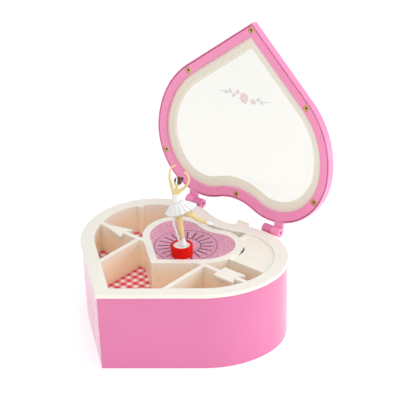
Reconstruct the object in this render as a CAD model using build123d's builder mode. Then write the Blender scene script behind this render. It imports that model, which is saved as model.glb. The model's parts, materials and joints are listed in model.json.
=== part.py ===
"""Heart-shaped ballerina jewellery box with a magnetic dancing figure and a spring-driven musical movement.

Frame: +Z up, +X to the right, the point of the heart towards -Y and the hinges at +Y.  The origin lies in
the plane that the box rests on, midway between the point and the lobes.  The lid stands open.
"""

from build123d import *
from math import atan, cos, degrees, radians, sin
import os

os.makedirs("parts", exist_ok=True)

# ------------------------------------------------------------------ driving dimensions (millimetres, degrees)

# heart outline: straight sides from the point, a wide arc into each round lobe, and a shallow notch
heart_half_width = 82.5
heart_point_y = -73.0
heart_side_angle = 38.5  # rise of each straight side from the X axis
lobe_radius = 49.0
lobe_y = 23.5
notch_y = 65.5

fit_gap = 0.3  # clearance between loose neighbours

# body shell
shell_height = 59.8
shell_draft = 1.0  # how much narrower the shell is at the bottom, each side
shell_wall = 2.5
cover_ledge = 3.0  # ledge that the base cover is clamped under
ledge_thick = 2.0

# tray
rim_top = 62.0
rim_width = 9.5
rim_overhang = 1.0
rim_round = 1.0
tray_wall = 2.0
tray_depth = 23.0
tray_floor = 1.5
divider = 3.4
arrow_y = 7.0  # centre line of the two dividers that make the arrow
arrow_break = 10.0  # each of them ends under the tower, this far from the middle
left_divider_x = -32.0
right_divider_x = 31.5
panel_front_y = 27.5
panel_left_x = 28.0
panel_thick = 2.0
panel_drop = 1.0  # how far the flat panel lies below the rim
panel_corner = 4.0
boss_place = (-66.5, 46.5)  # round boss down the back left wall
boss_radius = 3.0

# small heart tower in the tray, with the stage on top
tower_scale = 0.49
tower_y = 20.5
tower_rim = 5.5
tower_wall = 2.5
stage_thick = 1.5
stage_recess = 0.6
stage_ledge = 2.0

# lid, given in its closed position and then swung open about the hinge
hinge_y = 78.6
hinge_z = 61.5
lid_open = 99.0
lid_gap = 0.4
ring_thick = 2.5
lid_wall = 0.8  # thin wall of the lid frame that stands round the ring
lid_groove = 0.6  # open groove between that wall and the ring
frame_thick = 4.0
flange_width = 8.0
bezel_thick = 1.3
bezel_inner = 15.5
bezel_step = 12.6  # where the bezel steps back to its inner band
bezel_step_depth = 0.5
window_thick = 1.5
window_cover = 13.5

# hinges
knuckle_radius = 3.5
knuckle_length = 7.6
hinge_centre_x = 38.0
pin_radius = 1.2
pin_clearance = 0.05

# base cover and key well
cover_thick = 2.5
well_radius = 18.0
well_depth = 7.5
well_wall = 1.5
post_radius = 4.0
post_places = [(0.0, -52.0), (-60.0, 0.0), (60.0, 0.0), (-50.0, 52.0), (52.0, 50.0)]

# movement
bed_bottom = 9.5
bed_thick = 1.5
arbor_radius = 2.0
crown_teeth = 36
crown_radius = 12.0
pinion_teeth = 12
wheel_teeth = 30
fan_teeth = 10
drum_radius = 6.5
drum_length = 17.0
pin_height = 0.5

# stage drive and figure
orbit_radius = 13.2
orbit_angle = -53.4
magnet_radius = 6.0
cup_radius = 8.2
cup_height = 8.0
cup_wall = 1.8
disc_drop = 1.0  # how far the white disc lies below the rim of the cup
cup_floor = 0.6
shoulder_turn = 40.5  # direction of the dancer's shoulder line, from +X

# ------------------------------------------------------------------ values worked out from these

rim_bottom = shell_height
panel_top = rim_top - panel_drop
panel_bottom = panel_top - panel_thick
floor_top = rim_top - tray_depth
floor_bottom = floor_top - tray_floor
lid_bottom = rim_top + lid_gap
frame_bottom = lid_bottom + ring_thick
bezel_top = frame_bottom + bezel_thick
window_top = bezel_top + window_thick
lid_top = frame_bottom + frame_thick
stage_top = rim_top - stage_recess
stage_bottom = stage_top - stage_thick
tower_middle = (0.0, tower_y)
bed_top = bed_bottom + bed_thick
orbit_x = orbit_radius * cos(radians(orbit_angle))
orbit_y = tower_y + orbit_radius * sin(radians(orbit_angle))


# ------------------------------------------------------------------ shared outlines


def heart_face(inset=0.0, scale=1.0, middle=(0.0, 0.0)):
    """A heart-shaped face on the XY plane: the full outline scaled, then set in evenly all round."""
    width, point, lobe, lobe_height, notch = [
        scale * size for size in (heart_half_width, heart_point_y, lobe_radius, lobe_y, notch_y)
    ]
    rise = radians(heart_side_angle)
    # the side arc is tangent to the straight side and upright where it meets the lobe
    side = ((lobe_height - point) * cos(rise) - width * sin(rise)) / (1 - sin(rise))
    lobe_x = width - lobe
    # two equal arcs, one each way, lead from the top of the lobe down to the notch
    drop = lobe_height + lobe - notch
    turn = 2 * atan(drop / lobe_x)
    shoulder = lobe_x / (2 * sin(turn))
    side_start = (
        width - side + (side - inset) * sin(rise),
        lobe_height - (side - inset) * cos(rise),
    )
    with BuildSketch() as outline:
        with BuildLine():
            Line((0, point + inset / cos(rise)), side_start)
            CenterArc((width - side, lobe_height), side - inset, heart_side_angle - 90, 90 - heart_side_angle)
            CenterArc((lobe_x, lobe_height), lobe - inset, 0, 90)
            CenterArc((lobe_x, lobe_height + lobe - shoulder), shoulder - inset, 90, degrees(turn))
            CenterArc((0, notch + shoulder), shoulder + inset, 270 + degrees(turn), -degrees(turn))
            mirror(about=Plane.YZ)
        make_face()
    return outline.sketch.moved(Location((middle[0], middle[1], 0)))


def tower_face(inset=0.0):
    """The small heart of the tower, set in from its outer outline."""
    return heart_face(inset, tower_scale, tower_middle)


def block(low, high):
    """A rectangular face between two corners on the XY plane."""
    with BuildSketch() as face:
        with Locations(((low[0] + high[0]) / 2, (low[1] + high[1]) / 2)):
            Rectangle(high[0] - low[0], high[1] - low[1])
    return face.sketch


far = 120.0  # beyond every edge of the box


def pocket_region(gap=0.0):
    """Plan of the five open compartments, with every wall thicker by gap."""
    half = divider / 2 + gap
    with BuildSketch() as region:
        add(heart_face(rim_width + gap))
        add(tower_face(-gap), mode=Mode.SUBTRACT)
        add(block((-far, arrow_y - half), (-arrow_break, arrow_y + half)), mode=Mode.SUBTRACT)
        add(block((arrow_break, arrow_y - half), (far, arrow_y + half)), mode=Mode.SUBTRACT)
        add(block((left_divider_x - half, -far), (left_divider_x + half, arrow_y)), mode=Mode.SUBTRACT)
        add(block((right_divider_x - half, -far), (right_divider_x + half, arrow_y)), mode=Mode.SUBTRACT)
        add(block((panel_left_x - half, panel_front_y - half), (far, far)), mode=Mode.SUBTRACT)
        with Locations(boss_place):
            Circle(boss_radius + gap, mode=Mode.SUBTRACT)
    return region.sketch


def write(piece, name):
    """Label a finished piece and save it under its own name."""
    piece.part.label = name
    export_step(piece.part, f"parts/{name}.step")


# ------------------------------------------------------------------ body shell

knuckle_span = 2 * knuckle_length + 2 * fit_gap
knuckle_offset = (knuckle_length + fit_gap) / 2
web_drop = 5.5  # the web of a body knuckle: its underside, its step under the rim, its neck and its root
web_step = 2.2
web_neck = 3.2
web_reach = 8.0


def knuckle_plane(side, on_lid):
    """Plane whose normal runs along the hinge axis, at the start of a knuckle.

    The outer knuckle of each hinge belongs to the lid and the inner one to the body.
    """
    shift = knuckle_offset if on_lid else -knuckle_offset
    centre = side * (hinge_centre_x + shift)
    return Plane(origin=(centre - knuckle_length / 2, hinge_y, hinge_z), x_dir=(0, 1, 0), z_dir=(1, 0, 0))


with BuildPart() as body_shell:
    with BuildSketch():
        add(heart_face(shell_draft))
    with BuildSketch(Plane.XY.offset(shell_height)):
        add(heart_face())
    loft(ruled=True)
    inner = shell_draft + shell_wall
    with BuildSketch(Plane.XY.offset(cover_thick)):
        add(heart_face(inner + cover_ledge))
    extrude(amount=shell_height, mode=Mode.SUBTRACT)
    with BuildSketch(Plane.XY.offset(cover_thick + ledge_thick)):
        add(heart_face(inner))
    extrude(amount=shell_height, mode=Mode.SUBTRACT)
    with BuildSketch():
        add(heart_face(inner))
    extrude(amount=cover_thick, mode=Mode.SUBTRACT)
    # the inner knuckle of each hinge stands off the back wall on a short web
    for side in (-1, 1):
        with BuildSketch(knuckle_plane(side, on_lid=False)):
            Circle(knuckle_radius)
            with BuildLine():
                Polyline(
                    (0, 0),
                    (0, -web_drop),
                    (-web_reach, -web_drop),
                    (-web_reach, -web_step),
                    (-web_neck, -web_step),
                    (-web_neck, 0),
                    close=True,
                )
            make_face()
        extrude(amount=knuckle_length)
        with BuildSketch(knuckle_plane(side, on_lid=False)):
            Circle(pin_radius + pin_clearance)
        extrude(amount=knuckle_length, mode=Mode.SUBTRACT)
write(body_shell, "body_shell")

# ------------------------------------------------------------------ fasteners

screw_radius = 1.1
screw_head_radius = 2.4
screw_head_height = 1.3
screw_pilot_gap = 0.05
cross_width = 0.7
cross_length = 2.6
socket_radius = 0.9  # round hollow where the arms of the cross meet
socket_depth = 0.9
screw_point_length = 1.0
screw_point_radius = 0.3
countersunk_edge = 0.15  # height of the straight edge of a countersunk head
seat_gap = 0.15  # room all round a screw's head
seat_beyond = 0.5  # how far a seat runs past each end of its screw


def screw(length, countersunk):
    """A cross-slotted screw along +Z, with the outer face of its head at the origin's plane."""
    edge = countersunk_edge if countersunk else screw_head_height
    with BuildPart() as body:
        with BuildSketch(Plane.XZ):
            with BuildLine():
                Polyline(
                    (0, 0),
                    (screw_head_radius, 0),
                    (screw_head_radius, edge),
                    (screw_radius, screw_head_height),
                    (screw_radius, length - screw_point_length),
                    (screw_point_radius, length),
                    (0, length),
                    close=True,
                )
            make_face()
        revolve(axis=Axis.Z)
        with BuildSketch():
            Rectangle(cross_length, cross_width)
            Rectangle(cross_width, cross_length)
            Circle(socket_radius)
        extrude(amount=socket_depth, mode=Mode.SUBTRACT)
    return body.part


def screw_seat(length, countersunk):
    """The hollow that a screw drops into, a little larger than the screw all round."""
    head = screw_head_radius + seat_gap
    hole = screw_radius + screw_pilot_gap
    edge = countersunk_edge + screw_pilot_gap if countersunk else screw_head_height
    with BuildPart() as hollow:
        with BuildSketch(Plane.XZ):
            with BuildLine():
                Polyline(
                    (0, -seat_beyond),
                    (head, -seat_beyond),
                    (head, edge),
                    (hole, screw_head_height + 2 * screw_pilot_gap),
                    (hole, length + seat_beyond),
                    (0, length + seat_beyond),
                    close=True,
                )
            make_face()
        revolve(axis=Axis.Z)
    return hollow.part


# ------------------------------------------------------------------ tray

post_length = 10.0  # length of each screw that holds the base cover
cover_screw_sink = 0.4
cover_screw_spots = [Plane.XY.offset(cover_screw_sink) * Location((x, y, 0)) for x, y in post_places]
slot_pivot = (23.9, 34.7)  # pivot of the stop lever, centre of its arc slot
slot_radius = 17.4
slot_width = 1.3
slot_start = -1.0
slot_sweep = 41.0
arrow_head_length = 27.0
arrow_head_half = 6.6
arrow_head_notch = 3.0
arrow_tip_x = -71.5
flight_inner_x = 46.0
flight_outer_x = 65.0
flight_notch = 5.0
tab_left = 10.0
tab_right = 20.0
tab_root = 66.0
tab_end = 73.2
tab_lip = 1.8
tab_height = 3.8
# quarter-round outer edge of the rim: height above its start, and how far it is set in
rim_steps = [(rim_round * sin(radians(a)), rim_round * (1 - cos(radians(a)))) for a in (0, 30, 60, 90)]


def slot_point(radius, angle):
    """A point at this radius and angle from the stop lever's pivot."""
    return slot_pivot[0] + radius * cos(radians(angle)), slot_pivot[1] + radius * sin(radians(angle))


def slot_face():
    """Plan of the arc slot for the stop lever."""
    near = slot_radius - slot_width / 2
    beyond = slot_radius + slot_width / 2
    with BuildSketch() as arc:
        with BuildLine():
            CenterArc(slot_pivot, near, slot_start, slot_sweep)
            CenterArc(slot_pivot, beyond, slot_start, slot_sweep)
            for angle in (slot_start, slot_start + slot_sweep):
                Line(slot_point(near, angle), slot_point(beyond, angle))
        make_face()
    return arc.sketch


def panel_face():
    """Plan of the flat panel over the right lobe, with a rounded corner at the back."""
    left = panel_left_x + divider / 2
    with BuildSketch() as region:
        add(heart_face(rim_width))
        add(block((left, panel_front_y - divider / 2), (far, far)), mode=Mode.INTERSECT)
        fillet(region.vertices().sort_by_distance((left, far, 0))[0], panel_corner)
        add(tower_face(), mode=Mode.SUBTRACT)
    return region.sketch


with BuildPart() as tray:
    with BuildSketch(Plane.XY.offset(floor_bottom)):
        add(heart_face(rim_width - tray_wall))
    extrude(amount=rim_bottom - floor_bottom)
    with BuildSketch(Plane.XY.offset(rim_bottom)):
        add(heart_face(-rim_overhang))
    extrude(amount=rim_top - rim_bottom - rim_round)
    for height, inset in rim_steps:
        with BuildSketch(Plane.XY.offset(rim_top - rim_round + height)):
            add(heart_face(inset - rim_overhang))
    loft(ruled=True)
    # compartments
    with BuildSketch(Plane.XY.offset(floor_top)):
        add(pocket_region())
    extrude(amount=tray_depth, mode=Mode.SUBTRACT)
    # hollow under the flat panel over the right lobe
    with BuildSketch(Plane.XY.offset(floor_bottom)):
        add(heart_face(rim_width))
        hollow_corner = (panel_left_x + divider / 2, panel_front_y + divider / 2)
        add(block(hollow_corner, (far, far)), mode=Mode.INTERSECT)
        add(tower_face(), mode=Mode.SUBTRACT)
    extrude(amount=panel_bottom - floor_bottom, mode=Mode.SUBTRACT)
    # the panel itself lies a little below the rim, the tower and the divider beside it
    with BuildSketch(Plane.XY.offset(panel_top)):
        add(panel_face())
    extrude(amount=tray_depth, mode=Mode.SUBTRACT)
    # tower: open below for the movement, with a ledge and a recess for the stage plate
    with BuildSketch(Plane.XY.offset(floor_bottom)):
        add(tower_face(tower_wall))
    extrude(amount=stage_bottom - stage_ledge - floor_bottom, mode=Mode.SUBTRACT)
    with BuildSketch(Plane.XY.offset(stage_bottom - stage_ledge)):
        add(tower_face(tower_rim + stage_ledge))
    extrude(amount=tray_depth, mode=Mode.SUBTRACT)
    with BuildSketch(Plane.XY.offset(stage_bottom)):
        add(tower_face(tower_rim))
    extrude(amount=tray_depth, mode=Mode.SUBTRACT)
    # plates that turn the two dividers in line into an arrow
    with BuildSketch(Plane.XY.offset(rim_top - panel_thick)):
        with BuildLine():
            Polyline(
                (arrow_tip_x, arrow_y),
                (arrow_tip_x + arrow_head_length, arrow_y + arrow_head_half),
                (arrow_tip_x + arrow_head_length - arrow_head_notch, arrow_y),
                (arrow_tip_x + arrow_head_length, arrow_y - arrow_head_half),
                close=True,
            )
        make_face()
        with BuildLine():
            Polyline(
                (flight_inner_x, arrow_y - arrow_head_half),
                (flight_outer_x, arrow_y - arrow_head_half),
                (flight_outer_x - flight_notch, arrow_y),
                (flight_outer_x, arrow_y + arrow_head_half),
                (flight_inner_x, arrow_y + arrow_head_half),
                close=True,
            )
        make_face()
    extrude(amount=panel_thick)
    # arc slot through the panel
    with BuildSketch(Plane.XY.offset(panel_bottom)):
        add(slot_face())
    extrude(amount=panel_thick, mode=Mode.SUBTRACT)
    # screw posts down to the base cover
    with BuildSketch(Plane.XY.offset(cover_thick)):
        with Locations(*post_places[:4]):
            Circle(post_radius)
    extrude(amount=floor_bottom - cover_thick)
    with BuildSketch(Plane.XY.offset(cover_thick)):
        with Locations(post_places[4]):
            Circle(post_radius)
    extrude(amount=panel_bottom - cover_thick)
    with Locations(*cover_screw_spots):
        add(screw_seat(post_length, False), mode=Mode.SUBTRACT)
    # small tab behind the notch, with a raised lip clear of the lid's edge
    with BuildSketch(Plane.XY.offset(rim_bottom)):
        add(block((tab_left, tab_root), (tab_right, tab_end)))
    extrude(amount=rim_top - rim_bottom)
    with BuildSketch(Plane.XY.offset(rim_bottom)):
        add(block((tab_left, tab_end - tab_lip), (tab_right, tab_end)))
    extrude(amount=tab_height)
write(tray, "tray")

lining_gap = 0.3
lining_thick = 0.4
lining_middles = {
    "lining_front": (0.0, -35.0),
    "lining_left": (-52.0, -10.0),
    "lining_back": (-55.0, 40.0),
    "lining_front_right": (50.0, -12.0),
    "lining_right": (58.0, 18.0),
}
for lining_name, (lining_x, lining_y) in lining_middles.items():
    with BuildPart() as lining:
        with BuildSketch(Plane.XY.offset(floor_top)):
            pockets = pocket_region(lining_gap).faces()
            add(pockets.sort_by(lambda face: (face.center() - Vector(lining_x, lining_y)).length)[0])
        extrude(amount=lining_thick)
    write(lining, lining_name)

# ------------------------------------------------------------------ stage plate and base cover

with BuildPart() as stage_plate:
    with BuildSketch(Plane.XY.offset(stage_bottom)):
        add(tower_face(tower_rim + fit_gap / 2))
    extrude(amount=stage_thick)
write(stage_plate, "stage_plate")

bed_length = 58.0
bed_width = 42.0
bed_middle = (14.0, tower_y)
bed_corner = 3.0
standoff_radius = 3.2
standoff_in = 4.0  # from the bedplate's edges to the middle of each standoff
standoff_x = bed_length / 2 - standoff_in
standoff_y = bed_width / 2 - standoff_in
standoff_places = [
    (bed_middle[0] + side * standoff_x, bed_middle[1] + end * standoff_y)
    for side in (-1, 1)
    for end in (-1, 1)
]
well_hole_gap = 0.5

with BuildPart() as base_cover:
    with BuildSketch():
        add(heart_face(shell_draft + shell_wall + fit_gap))
    extrude(amount=cover_thick)
    # round well that the winding key sits in
    with BuildSketch(Plane.XY.offset(cover_thick)):
        with Locations(tower_middle):
            Circle(well_radius + well_wall)
        with Locations(*standoff_places):
            Circle(standoff_radius)
    extrude(amount=bed_bottom - cover_thick)
    with BuildSketch():
        with Locations(tower_middle):
            Circle(well_radius)
    extrude(amount=well_depth, mode=Mode.SUBTRACT)
    with BuildSketch():
        with Locations(tower_middle):
            Circle(arbor_radius + well_hole_gap)
    extrude(amount=bed_bottom, mode=Mode.SUBTRACT)
    with Locations(*cover_screw_spots):
        add(screw_seat(post_length, False), mode=Mode.SUBTRACT)
    # pilot holes for the screws that hold the movement
    with BuildSketch(Plane.XY.offset(cover_thick)):
        with Locations(*standoff_places):
            Circle(screw_radius + screw_pilot_gap)
    extrude(amount=bed_bottom - cover_thick, mode=Mode.SUBTRACT)
write(base_cover, "base_cover")

with BuildPart() as base_screws:
    with Locations(*cover_screw_spots):
        add(screw(post_length, False))
write(base_screws, "base_screws")

# ------------------------------------------------------------------ lid

open_angle = radians(lid_open)
lid_base = Plane(
    origin=(0, hinge_y, hinge_z),
    x_dir=(1, 0, 0),
    z_dir=(0, sin(open_angle), cos(open_angle)),
)
lid_middle = (0.0, -hinge_y)  # the heart's middle in the open lid's own plane
lid_screw_length = 5.0
lid_screw_sink = 0.4
lid_screw_places = [(0.0, -67.5), (-56.5, -22.5), (56.5, -22.5), (-72.0, 46.0), (72.0, 46.0), (0.0, 61.5)]


def lid_plane(height):
    """The plane that lies this high above the base when the lid is closed, on the open lid."""
    return lid_base.offset(height - hinge_z)


def lid_face(inset):
    """The lid's heart outline, set in all round, in the open lid's own plane."""
    return heart_face(inset, 1.0, lid_middle)


lid_screw_plane = lid_plane(lid_bottom + lid_screw_sink)
lid_screw_spots = [lid_screw_plane * Location((x, y - hinge_y, 0)) for x, y in lid_screw_places]
lid_web_low = 1.2
lid_web_high = 3.4
lid_web_reach = 11.0

with BuildPart() as lid_ring:
    with BuildSketch(lid_plane(lid_bottom)):
        add(lid_face(lid_wall + lid_groove))
        add(lid_face(flange_width), mode=Mode.SUBTRACT)
    extrude(amount=ring_thick)
    # the outer knuckle of each hinge stands off the back of the ring on a short web
    for side in (-1, 1):
        knuckle = knuckle_plane(side, on_lid=True)
        open_knuckle = Plane(origin=knuckle.origin, x_dir=lid_base.y_dir, z_dir=(1, 0, 0))
        with BuildSketch(open_knuckle):
            Circle(knuckle_radius)
            with BuildLine():
                Polyline(
                    (0, lid_web_low),
                    (0, lid_web_high),
                    (-lid_web_reach, lid_web_high),
                    (-lid_web_reach, lid_web_low),
                    close=True,
                )
            make_face()
        extrude(amount=knuckle_length)
        with BuildSketch(open_knuckle):
            Circle(pin_radius + pin_clearance)
        extrude(amount=knuckle_length, mode=Mode.SUBTRACT)
    with Locations(*lid_screw_spots):
        add(screw_seat(lid_screw_length, True), mode=Mode.SUBTRACT)
write(lid_ring, "lid_ring")

bezel_outer = 6.2
frame_edge_round = 1.2

with BuildPart() as lid_frame:
    with BuildSketch(lid_plane(frame_bottom)):
        add(lid_face(0))
    extrude(amount=frame_thick - frame_edge_round)
    # thin wall round the ring, open where the webs of the knuckles pass
    with BuildSketch(lid_plane(lid_bottom)):
        add(lid_face(0))
        add(lid_face(lid_wall), mode=Mode.SUBTRACT)
        for side in (-1, 1):
            web_middle = side * (hinge_centre_x + knuckle_offset)
            web_half = knuckle_length / 2 + fit_gap
            opening = block((web_middle - web_half, -lid_web_reach), (web_middle + web_half, 0))
            add(opening, mode=Mode.SUBTRACT)
    extrude(amount=ring_thick)
    for part_angle in (0, 30, 60, 90):
        rise = frame_edge_round * sin(radians(part_angle))
        with BuildSketch(lid_plane(lid_top - frame_edge_round + rise)):
            add(lid_face(frame_edge_round * (1 - cos(radians(part_angle)))))
    loft(ruled=True)
    with BuildSketch(lid_plane(frame_bottom)):
        add(lid_face(bezel_outer))
    extrude(amount=window_top - frame_bottom, mode=Mode.SUBTRACT)
    with BuildSketch(lid_plane(frame_bottom)):
        add(lid_face(window_cover))
    extrude(amount=frame_thick, mode=Mode.SUBTRACT)
    with Locations(*lid_screw_spots):
        add(screw_seat(lid_screw_length, True), mode=Mode.SUBTRACT)
write(lid_frame, "lid_frame")

with BuildPart() as lid_bezel:
    with BuildSketch(lid_plane(frame_bottom)):
        add(lid_face(bezel_outer + fit_gap / 2))
        add(lid_face(bezel_inner), mode=Mode.SUBTRACT)
    extrude(amount=bezel_thick)
    with BuildSketch(lid_plane(frame_bottom)):
        add(lid_face(bezel_step))
    extrude(amount=bezel_step_depth, mode=Mode.SUBTRACT)
write(lid_bezel, "lid_bezel")

with BuildPart() as lid_window:
    with BuildSketch(lid_plane(bezel_top)):
        add(lid_face(bezel_outer + fit_gap / 2))
    extrude(amount=window_thick)
write(lid_window, "lid_window")

with BuildPart() as lid_screws:
    with Locations(*lid_screw_spots):
        add(screw(lid_screw_length, True))
write(lid_screws, "lid_screws")

pin_end = 1.2  # how far each end of a hinge pin lies inside its hole
with BuildPart() as hinge_pins:
    for side in (-1, 1):
        start = side * hinge_centre_x - knuckle_span / 2 + pin_end
        with BuildSketch(Plane(origin=(start, hinge_y, hinge_z), x_dir=(0, 1, 0), z_dir=(1, 0, 0))):
            Circle(pin_radius)
        extrude(amount=knuckle_span - 2 * pin_end)
write(hinge_pins, "hinge_pins")

# ------------------------------------------------------------------ musical movement

key_hub_radius = 3.2
key_bottom = 1.0
key_hub_top = 7.0
key_wing_half = 12.0
key_wing_height = 5.6
key_wing_thick = 2.0
arbor_top = 53.5
arbor_bottom = 4.0
middle_x, middle_y = tower_middle

with BuildPart() as winding_key:
    with BuildSketch(Plane.XY.offset(key_bottom)):
        with Locations(tower_middle):
            Circle(key_hub_radius)
    extrude(amount=key_hub_top - key_bottom)
    # flat butterfly wings with a round lobe at each end
    wing_side = Plane(origin=(middle_x, middle_y + key_wing_thick / 2, 0), x_dir=(1, 0, 0), z_dir=(0, -1, 0))
    with BuildSketch(wing_side):
        with Locations((0, key_bottom + key_wing_height / 2)):
            SlotOverall(2 * key_wing_half, key_wing_height)
    extrude(amount=key_wing_thick)
    with BuildSketch(Plane.XY.offset(arbor_bottom)):
        with Locations(tower_middle):
            Circle(arbor_radius)
    extrude(amount=key_hub_top, mode=Mode.SUBTRACT)
write(winding_key, "winding_key")

with BuildPart() as main_arbor:
    with BuildSketch(Plane.XY.offset(arbor_bottom)):
        with Locations(tower_middle):
            Circle(arbor_radius)
    extrude(amount=arbor_top - arbor_bottom)
write(main_arbor, "main_arbor")

with BuildPart() as bedplate:
    with BuildSketch(Plane.XY.offset(bed_bottom)):
        with Locations(bed_middle):
            RectangleRounded(bed_length, bed_width, bed_corner)
        with Locations(tower_middle):
            Circle(arbor_radius + pin_clearance, mode=Mode.SUBTRACT)
        with Locations(*standoff_places):
            Circle(screw_radius + screw_pilot_gap, mode=Mode.SUBTRACT)
    extrude(amount=bed_thick)
write(bedplate, "bedplate")

movement_screw_length = 6.0
movement_screw_spots = [
    Plane(origin=(x, y, bed_top + screw_head_height), x_dir=(1, 0, 0), z_dir=(0, 0, -1)).location
    for x, y in standoff_places
]
with BuildPart() as movement_screws:
    with Locations(*movement_screw_spots):
        add(screw(movement_screw_length, False))
write(movement_screws, "movement_screws")

housing_radius = 13.5
housing_wall = 1.0
housing_height = 10.5
housing_top = bed_top + housing_height
with BuildPart() as spring_housing:
    with BuildSketch(Plane.XY.offset(bed_top)):
        with Locations(tower_middle):
            Circle(housing_radius)
    extrude(amount=housing_top - bed_top)
    with BuildSketch(Plane.XY.offset(bed_top)):
        with Locations(tower_middle):
            Circle(housing_radius - housing_wall)
    extrude(amount=housing_top - bed_top - housing_wall, mode=Mode.SUBTRACT)
    with BuildSketch(Plane.XY.offset(bed_top)):
        with Locations(tower_middle):
            Circle(arbor_radius + pin_clearance)
    extrude(amount=housing_top - bed_top, mode=Mode.SUBTRACT)
write(spring_housing, "spring_housing")

spring_turns = 6
spring_gap = 0.4  # above and below the coil
spring_strip = 0.35
spring_arbor_gap = 0.6
spring_inner = arbor_radius + spring_arbor_gap
spring_outer = housing_radius - housing_wall - fit_gap
spring_step = (spring_outer - spring_inner - spring_strip) / (2 * spring_turns)

with BuildPart() as mainspring:
    with BuildSketch(Plane.XY.offset(bed_top + spring_gap)):
        # the coil is a chain of half circles: each is wider than the last, and every second one is shifted
        for half in range(2 * spring_turns):
            inner_edge = spring_inner + half * spring_step
            outer_edge = inner_edge + spring_strip
            shifted = half % 2
            centre_x = middle_x + shifted * spring_step
            with BuildLine():
                CenterArc((centre_x, middle_y), inner_edge, 180 * shifted, 180)
                CenterArc((centre_x, middle_y), outer_edge, 180 * shifted, 180)
                Line((centre_x + inner_edge, middle_y), (centre_x + outer_edge, middle_y))
                Line((centre_x - inner_edge, middle_y), (centre_x - outer_edge, middle_y))
            make_face()
    extrude(amount=housing_top - housing_wall - bed_top - 2 * spring_gap)
write(mainspring, "mainspring")

# gear train: the crown gear on the arbor turns the drum's pinion, and the drum's wheel turns the air brake

crown_lift = 0.8  # air between the spring housing and the crown gear
crown_thick = 1.6
crown_bottom = housing_top + crown_lift
crown_face = crown_bottom + crown_thick  # root of the crown teeth
pinion_pitch = crown_radius * pinion_teeth / crown_teeth
addendum = 0.45
dedendum = 0.70
tooth_tip = 0.50
tooth_base = 0.95
tooth_bite = 0.2  # how deep the foot of a tooth sinks into its gear
crown_tooth_length = 2.0
train_z = crown_face + dedendum + pinion_pitch
pinion_wide = 1.4


def spur_gear(teeth, pitch_radius, width, tip, base, high, low):
    """A spur gear along +Z with straight-sided teeth, the first of them on +X."""
    root = pitch_radius - low
    with BuildPart() as gear:
        with BuildSketch():
            Circle(root)
            with BuildLine():
                Polyline(
                    (root - tooth_bite, -base / 2),
                    (pitch_radius + high, -tip / 2),
                    (pitch_radius + high, tip / 2),
                    (root - tooth_bite, base / 2),
                    close=True,
                )
            tooth = make_face()
            with PolarLocations(0, teeth):
                add(tooth)
        extrude(amount=width)
    return gear.part


def crown_tooth():
    """One tooth on the upper face of the crown gear, lying along +X about the Z axis."""
    inner_end = Plane(
        origin=(crown_radius - crown_tooth_length / 2, 0, crown_face - tooth_bite),
        x_dir=(0, 1, 0),
        z_dir=(1, 0, 0),
    )
    with BuildPart() as tooth:
        with BuildSketch(inner_end):
            with BuildLine():
                Polyline(
                    (-tooth_base / 2, 0),
                    (-tooth_tip / 2, dedendum + addendum + tooth_bite),
                    (tooth_tip / 2, dedendum + addendum + tooth_bite),
                    (tooth_base / 2, 0),
                    close=True,
                )
            make_face()
        extrude(amount=crown_tooth_length)
    return tooth.part


with BuildPart() as crown_gear:
    with BuildSketch(Plane.XY.offset(crown_bottom)):
        with Locations(tower_middle):
            Circle(crown_radius + crown_tooth_length / 2)
            Circle(arbor_radius, mode=Mode.SUBTRACT)
    extrude(amount=crown_face - crown_bottom)
    with Locations(tower_middle):
        with PolarLocations(0, crown_teeth, start_angle=180 / crown_teeth):
            add(crown_tooth())
write(crown_gear, "crown_gear")

shaft_radius = 1.0
pinion_start = crown_radius - pinion_wide / 2
drum_start = 16.5
wheel_start = 35.6
wheel_wide = 1.2
upright_thick = 1.5
left_upright = 14.0
right_upright = 38.0
shaft_tail = 0.6  # how far the drum's shaft runs past the bracket
shaft_end = right_upright + upright_thick + shaft_tail
upright_half = 5.0
wheel_pitch = 7.4
fan_pitch = wheel_pitch * fan_teeth / wheel_teeth
fan_y = middle_y + wheel_pitch + fan_pitch
fan_shaft_radius = 0.6
fan_start = shaft_end
fan_wide = 5.0
fan_reach = 5.4
fan_blade = 0.5
fan_hub_radius = 1.2
wheel_tooth = dict(tip=0.30, base=0.62, high=0.35, low=0.55)
pinion_tooth = dict(tip=tooth_tip, base=tooth_base, high=addendum, low=0.55)


def train_plane(x, y):
    """Plane across the train's shafts, whose normal runs along +X and whose own X axis is +Y."""
    return Plane(origin=(x, y, train_z), x_dir=(0, 1, 0), z_dir=(1, 0, 0))


def train_rod(x_start, x_end, y, radius):
    """A round rod along the train's shafts."""
    with BuildPart() as rod:
        with BuildSketch(train_plane(x_start, y)):
            Circle(radius)
        extrude(amount=x_end - x_start)
    return rod.part


with BuildPart() as drum_pinion:
    with Locations(train_plane(pinion_start, middle_y).location):
        add(spur_gear(pinion_teeth, pinion_pitch, pinion_wide, **pinion_tooth))
    add(train_rod(pinion_start, shaft_end, middle_y, shaft_radius), mode=Mode.SUBTRACT)
write(drum_pinion, "drum_pinion")

with BuildPart() as drum_shaft:
    add(train_rod(pinion_start, shaft_end, middle_y, shaft_radius))
write(drum_shaft, "drum_shaft")

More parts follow.
